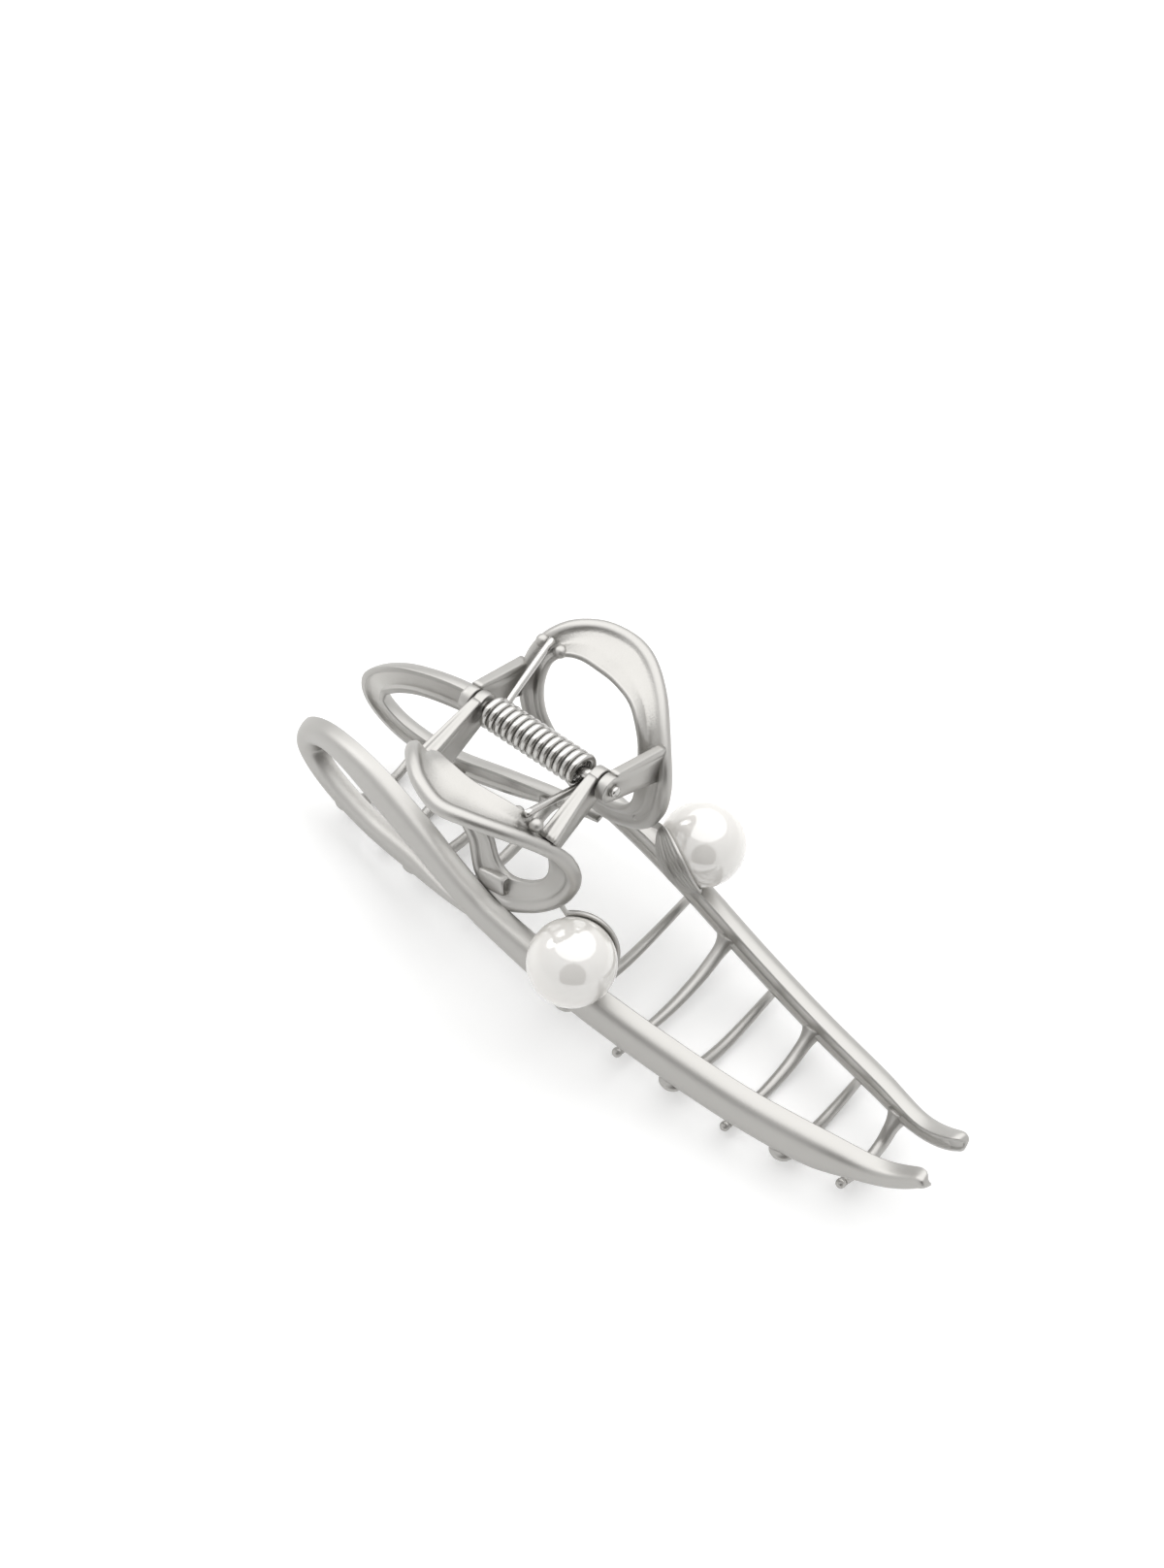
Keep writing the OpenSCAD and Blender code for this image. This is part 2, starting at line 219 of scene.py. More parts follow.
soft_lamp("overhead softbox", place=(-0.10, 0.16, 0.60), aim=(0, 0, 0), size=1.4, power=5.8)
soft_lamp("side softbox", place=(-0.6, -0.15, 0.4), aim=(0, 0, 0.01), size=0.3, power=0.5)
CARD_RADIUS, CARD_EDGES = 0.27, 48
CARD_AT = (0.27, -0.31, 0.17)
card_mesh = bpy.data.meshes.new("grey_card")
circle = [(CARD_RADIUS * math.cos(a), CARD_RADIUS * math.sin(a), 0) for a in around(CARD_EDGES)]
card_mesh.from_pydata(circle, [], [tuple(range(CARD_EDGES))])
card = bpy.data.objects.new("grey_card", card_mesh)
card.visible_camera = card.visible_diffuse = card.visible_shadow = False
card.location = Vector(CARD_AT)
card.rotation_euler = Vector(CARD_AT).to_track_quat("Z", "Y").to_euler()
scene.collection.objects.link(card)
CARD_GREY = (0.16, 0.15, 0.14, 1)
grey, tree = new_material("grey card")
finish_material(tree, node(tree, "ShaderNodeEmission", {}, {"Color": CARD_GREY, "Strength": 1.0}))
card_mesh.materials.append(grey)

# %% [markdown]
# The floor is one large plane of near white paper. For the camera it gets a little light of its own, so
# that it melts into the white room at its far edge, and the shadow under the clip stays.

# %% Floor
FLOOR_HALF, FLOOR_GLOW = 3.0, 0.2
floor_mesh = bpy.data.meshes.new("floor")
corners = [(-1, -1), (1, -1), (1, 1), (-1, 1)]
floor_mesh.from_pydata([(FLOOR_HALF * x, FLOOR_HALF * y, 0) for x, y in corners], [], [(0, 1, 2, 3)])
floor = bpy.data.objects.new("floor", floor_mesh)
scene.collection.objects.link(floor)
paper, tree = new_material("white paper floor")
fibre = noise(tree, node(tree, "ShaderNodeTexCoord").out("Object"), 900.0, 3.0)
paper_colour = blend_colours(tree, fibre, (0.90, 0.90, 0.90), (0.93, 0.93, 0.925))
matte = node(tree, "ShaderNodeBsdfDiffuse", {}, {"Color": paper_colour})
glow = node(tree, "ShaderNodeEmission", {}, {"Color": (1, 1, 1, 1), "Strength": FLOOR_GLOW})
dark = node(tree, "ShaderNodeEmission", {}, {"Color": (1, 1, 1, 1), "Strength": 0.0})
rays = node(tree, "ShaderNodeLightPath")
seen = rays.out("Is Camera Ray") + rays.out("Is Glossy Ray") + rays.out("Is Transmission Ray")
lift = node(tree, "ShaderNodeMixShader", {}, {0: seen, 1: dark, 2: glow})
finish_material(tree, node(tree, "ShaderNodeAddShader", {}, {0: matte, 1: lift}))
floor_mesh.materials.append(paper)
print("floor:", 2 * FLOOR_HALF, "m square,", paper.name)

# %% [markdown]
# Four finishes of metal. The castings have a satin silver plate: a soft sheen with a very fine tooth, a
# touch lighter and darker in patches. Inside the bars the rough skin of the mould is left, so the bump is
# far coarser there and the patches differ more. The skin is also painted much lighter than the plate:
# painted light that stands in for light the shaded hollow inside the bars does not catch. The face of the
# press ring has a slanted grain, made by squeezing the noise along one direction. The spring and the pin are
# drawn wire, which is the smoothest.


# %% Satin plate, and mould skin painted lighter
def satin(name, light, deep, roughness, tooth, tooth_size, lines=0.0):
    material, tree = new_material(name)
    place = node(tree, "ShaderNodeTexCoord").out("Object")
    patches = noise(tree, place, 90.0, 3.0)
    fine = noise(tree, place, 1.0 / (tooth_size * MM), 4.0, 0.65)
    colour = blend_colours(tree, patches * 0.7 + fine * 0.3, deep, light)
    sheen = roughness + (patches - 0.5) * 0.12 + (fine - 0.5) * 0.10
    relief = fine
    if lines:
        slanted = node(tree, "ShaderNodeMapping", {}, {
            "Vector": place, "Rotation": (0.0, 0.6, 0.7), "Scale": (1.0, 0.12, 1.0)})
        relief = fine * 0.5 + noise(tree, slanted, 1.0 / (lines * MM), 2.0) * 0.9
    bump = node(tree, "ShaderNodeBump", {}, {"Strength": tooth, "Distance": 0.05 * MM, "Height": relief})
    finish_material(tree, node(tree, "ShaderNodeBsdfPrincipled", {}, {
        "Base Color": colour, "Metallic": 1.0, "Roughness": sheen, "Normal": bump}))
    print("material:", name)
    return material


PLATE = satin("satin silver plate", light=(0.47, 0.461, 0.443), deep=(0.40, 0.392, 0.376),
              roughness=0.42, tooth=0.12, tooth_size=0.12)
# The skin's colours sit well above the plate's: painted light that brightens the shaded hollow in the bars.
SKIN_WITH_PAINTED_LIGHT = satin("rough mould skin with painted light", light=(0.66, 0.648, 0.622), deep=(0.42, 0.411, 0.394),
             roughness=0.38, tooth=0.9, tooth_size=0.26)
GRAINED = satin("slanted grain of the press ring", light=(0.48, 0.470, 0.450), deep=(0.36, 0.352, 0.337),
                roughness=0.38, tooth=0.8, tooth_size=0.25, lines=0.16)
WIRE_METAL = satin("drawn spring wire", light=(0.56, 0.55, 0.53), deep=(0.46, 0.453, 0.44),
                   roughness=0.22, tooth=0.08, tooth_size=0.10)

# %% [markdown]
# The pearls are beads under a thick glossy coat. A pearl is nearly white, a little creamy where you look
# along its skin, and its coat mirrors the room. The cream comes from a Layer Weight node, which knows how
# steeply a surface is seen, and a very soft noise keeps the white from being dead flat.

# %% Pearl
PEARL, tree = new_material("pearl lustre")
place = node(tree, "ShaderNodeTexCoord").out("Object")
clouds = noise(tree, place, 160.0, 3.0)
grazing = node(tree, "ShaderNodeLayerWeight", {}, {"Blend": 0.45}).out("Facing")
body = blend_colours(tree, clouds * 0.35 + grazing * 0.65, (0.80, 0.785, 0.76), (0.94, 0.905, 0.845))
swell = noise(tree, place, 700.0, 2.0)
ripple = node(tree, "ShaderNodeBump", {}, {"Strength": 0.04, "Distance": 0.05 * MM, "Height": swell})
finish_material(tree, node(tree, "ShaderNodeBsdfPrincipled", {}, {
    "Base Color": body, "Roughness": 0.20 + clouds * 0.05, "Normal": ripple,
    "Coat Weight": 1.0, "Coat Roughness": 0.03, "Coat IOR": 2.2, "Specular IOR Level": 0.6}))
print("material:", PEARL.name)

# %% [markdown]
# Almost every shape here is a skin over rings of points: a cross-section carried along a curve. A smooth
# curve through a few chosen stations gives the path, and every number of a station is blended the same way.
# skin() joins the rings into faces and closes the ends; add_piece() mirrors the result for the front half.


# %% Curves and skins
def spline(stations, t, closed=False):
    p = np.array(stations, float)
    n, i = len(p), math.floor(t)
    f = t - i
    pick = (lambda k: p[k % n]) if closed else (lambda k: p[min(max(k, 0), n - 1)])
    a, b, c, d = pick(i - 1), pick(i), pick(i + 1), pick(i + 2)
    return 0.5 * (2 * b + (c - a) * f + (2 * a - 5 * b + 4 * c - d) * f**2 + (3 * b - a - 3 * c + d) * f**3)


def unit(v):
    v = np.array(v, float)
    return v / np.linalg.norm(v)


def add_piece(name, points, faces, side, body, node_name, materials, face_slots=None):
    flip = side == "front"
    placed = [scene_point((p[0], -p[1], p[2]) if flip else p) for p in points]
    mesh = bpy.data.meshes.new(name)
    mesh.from_pydata([tuple(p) for p in placed], [], [tuple(f) for f in faces])
    for material in materials:
        mesh.materials.append(material)
    if face_slots is not None:
        mesh.polygons.foreach_set("material_index", face_slots)
    mesh.validate()
    work = bmesh.new()
    work.from_mesh(mesh)
    bmesh.ops.recalc_face_normals(work, faces=work.faces)
    work.to_mesh(mesh)
    work.free()
    mesh.shade_smooth()
    piece = bpy.data.objects.new(name, mesh)
    scene.collection.objects.link(piece)
    if body:
        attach(piece, body)
    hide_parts(*([node_name] if isinstance(node_name, str) else node_name))
    return piece


def ring_faces(count, size, closed_path, start=0):
    last = count if closed_path else count - 1
    return [(start + i * size + j, start + i * size + (j + 1) % size,
             start + (i + 1) % count * size + (j + 1) % size, start + (i + 1) % count * size + j)
            for i in range(last) for j in range(size)]


def skin(rings, closed_path=False, start=0):
    size = len(rings[0])
    points = [p for ring in rings for p in ring]
    faces = ring_faces(len(rings), size, closed_path, start)
    if not closed_path:
        for ring, base in ((rings[0], 0), (rings[-1], (len(rings) - 1) * size)):
            points.append(np.mean(ring, axis=0))
            middle = start + len(points) - 1
            faces += [(start + base + j, start + base + (j + 1) % size, middle) for j in range(size)]
    return points, faces


def rod(path, radius, sides, side_hint):
    rings = []
    for i, p in enumerate(path):
        ahead = unit(path[min(i + 1, len(path) - 1)] - path[max(i - 1, 0)])
        across = unit(np.cross(ahead, side_hint))
        other = np.cross(ahead, across)
        rings.append([p + radius * (math.cos(a) * across + math.sin(a) * other) for a in around(sides)])
    return rings


def ball(middle, radius, sides, bands, pole, axes):
    x, y, z = [np.array(axis, float) for axis in axes]
    return [[middle + radius * (math.cos(e) * (math.cos(a) * x + math.sin(a) * y) + math.sin(e) * z)
             for a in around(sides)] for e in np.radians(np.linspace(-pole, pole, bands))]


print("helpers for curves, skins, rods and balls are ready")

# %% [markdown]
# The jaw bar starts at the tip, runs back past the hinge, turns round the hair loop and comes back under
# itself. Each station holds its place and the height, depth and lean of its section. The section is a deep
# D: a rounded outer face, two narrow rims on the inside, and between them the hollow that the mould left.

# %% Jaw bar and hair loop
REACH_FRONT, REACH_BACK, HALF_GAP, DROP = 68.5, 41.0, 11.2, 31.0
BAR_H, BAR_D, HOLLOW = 6.8, 2.7, 0.55
JAW = [
    [0.976, 0.305, 0.885, 0.25, 0.6, 8], [0.955, 0.26, 0.945, 0.4, 0.8, 10],
    [0.88, 0.315, 1.025, 0.59, 0.9, 12], [0.77, 0.448, 1.01, 0.97, 1, 14], [0.6, 0.625, 0.98, 1, 1, 14],
    [0.42, 0.785, 0.9, 1, 1, 14], [0.24, 0.935, 0.79, 0.97, 1, 13], [0.08, 1, 0.69, 0.85, 1, 12],
    [-0.1, 0.99, 0.58, 0.8, 1, 11], [-0.3, 0.9, 0.475, 0.89, 0.95, 11],
    [-0.56, 0.77, 0.395, 0.93, 0.9, 9], [-0.8, 0.62, 0.43, 0.75, 0.9, 6],
    [-0.955, 0.53, 0.55, 0.66, 0.9, 3], [-1, 0.52, 0.7, 0.66, 0.9, 3],
    [-0.95, 0.53, 0.83, 0.66, 0.9, 3], [-0.82, 0.57, 0.925, 0.63, 0.9, 3],
    [-0.62, 0.66, 0.965, 0.6, 0.9, 4], [-0.38, 0.8, 0.93, 0.6, 0.9, 6],
    [-0.18, 0.94, 0.87, 0.34, 0.8, 8], [-0.03, 1.02, 0.84, 0.1, 0.5, 8]]


def jaw_rim(t):
    s = spline(JAW, t)
    return np.array([s[0] * (REACH_FRONT if s[0] > 0 else REACH_BACK), s[1] * HALF_GAP, -s[2] * DROP])


def jaw_frame(t):
    s = spline(JAW, t)
    ahead = unit(jaw_rim(t + 0.05) - jaw_rim(t - 0.05))
    lean = math.radians(s[5])
    out = np.array([0, math.cos(lean), math.sin(lean)])
    return jaw_rim(t), ahead, out, unit(np.cross(ahead, out)), s[3] * BAR_H, s[4] * BAR_D


OUTER, FLATNESS = 26, 3.2
RIM, RIM_SOFT = 0.95, 0.16


def bar_section(height, depth, hollow):
    shares = 0.5 - 0.499 * np.cos(np.linspace(0.12, math.pi - 0.12, OUTER))
    outer = [(depth * (1 - abs(2 * u**0.9 - 1) ** FLATNESS) ** 0.8, u * height) for u in shares]
    rim = min(RIM, 0.2 * height)
    lower = [(0.10, height - 0.01), (0.0, height - RIM_SOFT), (0.0, height - rim + RIM_SOFT / 2),
             (0.03, height - rim), (hollow - 0.03, height - rim - 0.10), (hollow, height - rim - 0.34)]
    bed = height - rim - 0.34
    middle = [(hollow + 0.10 * math.sin(math.pi * f), bed + f * (height - 2 * bed))
              for f in (0.2, 0.4, 0.6, 0.8)]
    upper = [(n, height - v) for n, v in reversed(lower)]
    return outer + lower + middle + upper


def jaw_ring(t, shrink=1.0, push=0.0):
    rim, ahead, out, across, height, depth = jaw_frame(t)
    fade = min(1, max(0.02, t - 0.6)) * (1 if t < 17 else max(0.02, (19 - t) / 2))
    middle = rim + 0.5 * depth * out + 0.5 * height * across - push * ahead
    section = bar_section(height, depth, HOLLOW * fade)
    points = [rim + n * out + v * across - push * ahead for n, v in section]
    return [middle + shrink * (p - middle) for p in points]


# The tip is a round cap: rings that grow from a point while they come back to station 1. From there the
# rings follow the stations.
RINGS_PER_STATION, CAP_RINGS = 12, 10
TIP_START, TIP_LENGTH = 1.0, 1.5
rings = []
for k in range(CAP_RINGS):
    a = math.pi / 2 * k / CAP_RINGS
    rings.append(jaw_ring(TIP_START, math.sin(a) ** 0.5 * 0.98 + 0.02, TIP_LENGTH * math.cos(a)))
rings += [jaw_ring(t) for t in np.arange(TIP_START, len(JAW) - 1 + 1e-6, 1 / RINGS_PER_STATION)]
jaw_points, jaw_faces = skin(rings)

# The hollow keeps the rough skin of the mould, so its faces take the second material. That material is
# painted lighter than the plate: painted light against the shade in the hollow.
hollow_from, hollow_to = OUTER + 3, OUTER + 12
inner = [1 if i >= CAP_RINGS + 3 and hollow_from <= j < hollow_to else 0
         for i in range(len(rings) - 1) for j in range(len(rings[0]))]
jaw_slots = inner + [0] * (len(jaw_faces) - len(inner))
for side in ("front", "rear"):
    add_piece(side + "_jaw_bar", jaw_points, jaw_faces, side, side + "_half", side + "_jaw",
              [PLATE, SKIN_WITH_PAINTED_LIGHT], jaw_slots)
print("jaw:", len(rings), "rings,", len(jaw_faces), "faces")

# %% [markdown]
# The teeth are cast in one with the bar. Each one leaves the bar's lower edge in a broad web, thins to a
# rod, arches under the hair and ends in a small ball under the other jaw. The two jaws take turns along the
# clip.

# %% Teeth
TOOTH_D, ARCH, FRONT_PITCH, BACK_PITCH = 1.6, 3.0, 8.45, 7.5
PAST_BEHIND, PAST_FRONT, PAST_REAR = -1.0, 1.4, 0.0
ROOT_OUT, ROOT_BACK, BALL_R, TOOTH_SIDES = 0.8, 0.6, 0.45 * TOOTH_D, 24
PIN_WAY = np.array([1.0, 0.0, 0.0])
OUT_WAY = np.array([0.0, 1.0, 0.0])
edge = [jaw_rim(t) for t in np.arange(13.5, 18.26, 0.25)]
for t in np.arange(8, 0.49, -0.25):
    rim, _, _, across, height, _ = jaw_frame(t)
    edge.append(rim + height * across)
edge_x, edge_y, edge_z = np.array(edge).T


def edge_at(x):
    return np.interp(x, edge_x, edge_y), np.interp(x, edge_x, edge_z)


back_teeth = [-0.78 * REACH_BACK + BACK_PITCH * k for k in range(4)]
front_teeth = [0.2 * REACH_FRONT + FRONT_PITCH * k for k in range(6)]
heel, toe = back_teeth[0], front_teeth[4]
slope = (edge_at(toe)[1] - edge_at(heel)[1]) / (toe - heel)


def past_edge(x):
    if x < 0:
        return PAST_BEHIND
    return (PAST_FRONT, PAST_REAR)[round((x - front_teeth[0]) / FRONT_PITCH) % 2]


def tooth_path(x):
    y, z = edge_at(x)
    a = min(1.1 * ARCH, z - edge_at(heel)[1] - slope * (x - heel) + ARCH)
    return [[y + 0.5, z + 0.35], [y * 0.93 - 0.6, z - 0.25 * a], [y * 0.5, z - 0.75 * a],
            [0, z - a], [-y * 0.5, z - 0.9 * a], [-y - past_edge(x), z - 0.6 * a]]


def oval(middle, wide, tall, up, ridge=0.0):
    ring = []
    for a in around(TOOTH_SIDES):
        swell = 1 + ridge * math.cos(2 * a) ** 8
        ring.append(middle + swell * (wide * math.cos(a) * PIN_WAY + tall * math.sin(a) * up))
    return ring


def tooth_size(t):
    web = max(0.0, 1 - t / 1.2) ** 2
    return TOOTH_D / 2 * (1.35 - 0.11 * t + 0.9 * web), TOOTH_D / 2 * (1.30 - 0.11 * t + 0.1 * web)


def tooth_rings(x):
    path, rings = tooth_path(x), []
    end = len(path) - 1
    point = lambda t: np.array([x, *spline(path, t)])
    ahead = unit(point(0.05) - point(0))
    wide, tall = tooth_size(0)
    for a in np.radians([6, 20, 38, 56, 74]):
        middle = point(0) + math.cos(a) * (ROOT_OUT * OUT_WAY - ROOT_BACK * ahead)
        rings.append(oval(middle, wide * math.sin(a), tall * math.sin(a), np.cross(ahead, PIN_WAY)))
    for t in np.linspace(0, end, 46):
        ahead = unit(point(t + 0.05) - point(t - 0.05))
        rings.append(oval(point(t), *tooth_size(t), np.cross(ahead, PIN_WAY), ridge=0.05))
    ahead = unit(point(end) - point(end - 0.1))
    for a in np.radians(np.linspace(-48, 86, 9)):
        middle = point(end) + BALL_R * (0.72 + math.sin(a)) * ahead
        rings.append(oval(middle, BALL_R * math.cos(a), BALL_R * math.cos(a), np.cross(ahead, PIN_WAY)))
    return rings


for side, start in (("front", 0), ("rear", 1)):
    points, faces = [], []
    places = back_teeth[start::2] + front_teeth[start::2]
    for x in places:
        p, f = skin(tooth_rings(x), start=len(points))
        points += p
        faces += f
    add_piece(side + "_teeth_row", points, faces, side, side + "_half", side + "_teeth",
              [PLATE])
    print(side, "teeth at", [round(x, 1) for x in places])

# %% [markdown]
# The press ring is where a finger pushes. It is a thin dished plate around a large hole, upright below and
# flaring out to a lip on top. A thick rounded bead runs round its outside and a thin one round the hole.
# The face towards the hinge has a fine slanted grain from the mould.

# %% Press ring
TAB_W, TAB_MID, PLATE_Y, FLARE, FOOT_Z, TAB_RISE = 27.4, -0.5, 10.0, 10.0, -21.0, 4.0
TAB_T, BEAD, LIP = 1.3, 2.1, 0.30
GRAIN_FACES, TAB_RINGS_PER_STATION = range(8, 15), 10
TAB_OUTER = [
    [-0.1, 1, 1], [0.2, 0.9, 0.98], [0.5, 0.64, 0.9], [0.76, 0.3, 0.78], [0.95, 0.03, 0.66],
    [1, -0.1, 0.51], [0.94, -0.11, 0.36], [0.76, -0.07, 0.19], [0.46, 0.03, 0.05], [0.1, 0.09, -0.03],
    [-0.24, 0.02, 0.07], [-0.43, -0.12, 0.26], [-0.65, -0.14, 0.4], [-0.87, -0.1, 0.55],
    [-0.97, 0.08, 0.74], [-0.9, 0.3, 0.92], [-0.7, 0.6, 1.02], [-0.42, 0.88, 1.03]]
TAB_INNER = [
    [-0.13, 0.26, 0.96], [0.08, 0.24, 0.95], [0.32, 0.16, 0.92], [0.48, 0.04, 0.84],
    [0.58, -0.06, 0.7], [0.61, -0.14, 0.53], [0.59, -0.16, 0.39], [0.49, -0.15, 0.28],
    [0.3, -0.12, 0.2], [0.1, -0.1, 0.17], [-0.06, -0.13, 0.22], [-0.18, -0.18, 0.34],
    [-0.38, -0.18, 0.46], [-0.56, -0.16, 0.6], [-0.64, -0.08, 0.75], [-0.64, 0.08, 0.87],
    [-0.53, 0.18, 0.94], [-0.35, 0.24, 0.97]]


def tab_point(s):
    x, y, z = s
    return np.array([TAB_MID + x * TAB_W / 2, PLATE_Y + y * FLARE, FOOT_Z + z * (TAB_RISE - FOOT_Z)])


def tab_edge(t):
    return tab_point(spline(TAB_OUTER, t, True))


def tab_ring(t):
    edge, hole = tab_edge(t), tab_point(spline(TAB_INNER, t, True))
    width = np.linalg.norm(edge - hole)
    across = (edge - hole) / width
    face = unit(np.cross(tab_edge(t + 0.1) - tab_edge(t - 0.1), across))
    plate, bead, plate_from, plate_run = TAB_T / 2, BEAD / 2, 2 * LIP + 0.55, width - BEAD - 2 * LIP - 0.8
    dish = lambda f: 0.80 - 0.55 * math.sin(math.pi * (0.15 + 0.75 * f))
    profile = [(LIP - (LIP + 0.05) * math.cos(a), (LIP + 0.28) * math.sin(a))
               for a in np.radians([-118, -90, -60, -30, 0, 30, 60, 90, 118])]
    profile += [(plate_from, plate * 0.80)]
    profile += [(plate_from + f * plate_run, plate * dish(f)) for f in (0.25, 0.5, 0.75, 1.0)]
    profile += [(width - bead + bead * math.cos(a), bead * math.sin(a))
                for a in np.radians(np.linspace(150, -150, 16))]
    profile += [(plate_from + f * plate_run, -plate * 0.9) for f in (1.0, 0.75, 0.5, 0.25, 0.0)]
    return [hole + u * across + n * face for u, n in profile]


# Some faces between each two rings lie on the dished side of the plate. They take the grain.
tab_rings = [tab_ring(t) for t in np.arange(0, len(TAB_OUTER), 1 / TAB_RINGS_PER_STATION)]
tab_points, tab_faces = skin(tab_rings, closed_path=True)
tab_slots = [1 if j in GRAIN_FACES else 0 for ring in tab_rings for j in range(len(ring))]
for side in ("front", "rear"):
    add_piece(side + "_press_ring", tab_points, tab_faces, side, side + "_half", side + "_press_tab",
              [PLATE, GRAINED], tab_slots)
print("press ring:", len(tab_rings), "rings of", len(tab_rings[0]), "points")

# %% [markdown]
# A short squared block is left on the foot of each ring. It is the stump of the channel the metal was
# poured through: its sides are plated like the rest, and its broken end stays rough.

# %% Pouring stump
STUMP_AT, STUMP_HALF, STUMP_SIDES = np.array([-0.8, 10.2, -18.3]), (2.4, 1.5, 0.95), 32
stump_run = unit([1, 0, 0.22])
stump_out = unit(np.cross(stump_run, [0, -0.2, 1]))
stump_up = np.cross(stump_out, stump_run)


def stump_ring(place, size):
    ring = []
    for a in around(STUMP_SIDES):
        c, d = math.cos(a), math.sin(a)
        soft = size * (abs(c) ** 3 + abs(d) ** 3) ** (-1 / 3)
        ring.append(STUMP_AT + place * STUMP_HALF[0] * stump_run
                    + soft * (c * STUMP_HALF[1] * stump_up + d * STUMP_HALF[2] * stump_out))
    return ring


# The last two rings form the broken end, a shallow dent that keeps the rough skin. It takes the same skin
# material, painted lighter than the plate.
stump_places = [(f, 0.72 + 0.28 * (1 - abs(f) ** 8) ** 0.5)
                for f in (-1, -0.97, -0.85, -0.6, 0, 0.6, 0.85, 0.97, 1)]
stump_places += [(1.0, 0.8), (0.9, 0.5)]
stump_points, stump_faces = skin([stump_ring(*place) for place in stump_places])
bands = len(stump_places) - 1
stump_slots = [1 if i >= bands - 2 else 0 for i in range(bands) for j in range(STUMP_SIDES)]
stump_slots += [0] * STUMP_SIDES + [1] * STUMP_SIDES
for side in ("front", "rear"):
    add_piece(side + "_pouring_stump", stump_points, stump_faces, side, side + "_half", side + "_press_tab",
              [PLATE, SKIN_WITH_PAINTED_LIGHT], stump_slots)
print("stump:", [round(2 * h, 1) for h in STUMP_HALF], "mm")

# %% [markdown]
# Two ears stand on each ring and carry the pin. An ear is a flat plate that ends in a round boss, with a
# real hole for the pin. Along its upper edge the casting is thickened into a flange that widens towards the
# ring. On the front half two ridges run down the flange with a groove between them. On the rear half's
# right ear the flange is only a thin rim.

# %% Hinge ears
PIN_D, CLEAR, EAR_WALL, EAR_T, EAR_GAP, EAR_SPAN = 1.6, 0.05, 1.15, 1.5, 0.3, 18.6
BOSS_R = PIN_D / 2 + CLEAR + EAR_WALL
EAR_TOP, EAR_LOW = (PLATE_Y + 0.4, -2.1), (PLATE_Y - 0.3, -6.5)
EAR_SOFT, BORE_SOFT = 0.16, 0.10
EAR_HEART = np.array([3.5, -1.5])


def ear_outline():
    top_from, low_from = (0.3, BOSS_R * 0.98), (-0.9, -BOSS_R * 0.8)
    arc_from = math.atan2(low_from[1], low_from[0])
    arc_to = math.atan2(top_from[1], top_from[0]) - 2 * math.pi
    outline = [BOSS_R * np.array([math.cos(a), math.sin(a)]) for a in np.linspace(arc_from, arc_to, 40)]
    corners = [outline[-1], np.array(EAR_TOP), np.array(EAR_LOW), outline[0]]
    for a, b, n in zip(corners, corners[1:], (10, 7, 10)):
        outline += [a + (b - a) * k / n for k in range(1, n + 1)]
    return outline[:-1]


def ear_plate(x):
    outline = ear_outline()
    inward = []
    for k, q in enumerate(outline):
        tangent = unit(outline[(k + 1) % len(outline)] - outline[k - 1])
        normal = np.array([-tangent[1], tangent[0]])
        inward.append(normal if np.dot(normal, EAR_HEART - q) > 0 else -normal)
    half, rings = EAR_T / 2, []
    for inset, dx in ((EAR_SOFT, -half), (0.05, 0.05 - half), (0, EAR_SOFT - half), (0, half - EAR_SOFT),
                      (0.05, half - 0.05), (EAR_SOFT, half)):
        rings.append([(x + dx, *(q + inset * n)) for q, n in zip(outline, inward)])
    bore = PIN_D / 2 + CLEAR
    for dx, r in ((half, bore + BORE_SOFT), (half - BORE_SOFT, bore),
                  (BORE_SOFT - half, bore), (-half, bore + BORE_SOFT)):
        rings.append([(x + dx, *(r * unit(q))) for q in outline])
    return rings


def ear_flange(x, outwards, grow):
    rings = []
    start, end = np.array([0.9, BOSS_R - 0.35]), np.array([EAR_TOP[0] + 0.25, EAR_TOP[1] + 0.25])
    ahead = unit(end - start)
    up = np.array([-ahead[1], ahead[0]])
    for f in np.linspace(0, 1, 16):
        middle = start + f * (end - start)
        half = EAR_T / 2 + grow * f / 2
        centre = x + outwards * grow * f / 2
        thick = 0.45 + 0.35 * f
        ring = []
        for k in range(33):
            s = -1 + k / 16
            ridges = 0.13 + 0.13 * math.cos(2 * math.pi * s) if grow > 1 else 0.0
            top = thick * (max(0.0, 1 - abs(s) ** 5)) ** 0.5 + ridges * f * (1 - abs(s) ** 6)
            ring.append((centre + half * s, *(middle + top * up)))
        for k in range(15, 0, -1):
            s = -1 + k / 8
            ring.append((centre + half * s, *(middle - thick * (1 - abs(s) ** 5) ** 0.5 * up)))
        rings.append(ring)
    return rings


FLANGES = {("front", -1): 1.2, ("front", 1): 1.5, ("rear", -1): 0.7, ("rear", 1): 0.0}
for side, offset in (("front", EAR_SPAN / 2 + EAR_T / 2), ("rear", EAR_SPAN / 2 + 1.5 * EAR_T + EAR_GAP)):
    points, faces = [], []
    for way in (-1, 1):
        x = PIN_MIDDLE + way * offset
        p, f = skin(ear_plate(x), closed_path=True, start=len(points))
        points, faces = points + p, faces + f
        p, f = skin(ear_flange(x, way, FLANGES[side, way]), start=len(points))
        points, faces = points + p, faces + f
    add_piece(side + "_ears", points, faces, side, side + "_half", side + "_hinge_ears",
              [PLATE])
print("ear flanges grow by", FLANGES, "mm")

# %% [markdown]
# The pin is a plain wire rod. Its ends stand out of the outer ears a little and are rounded where they were
# hammered over.

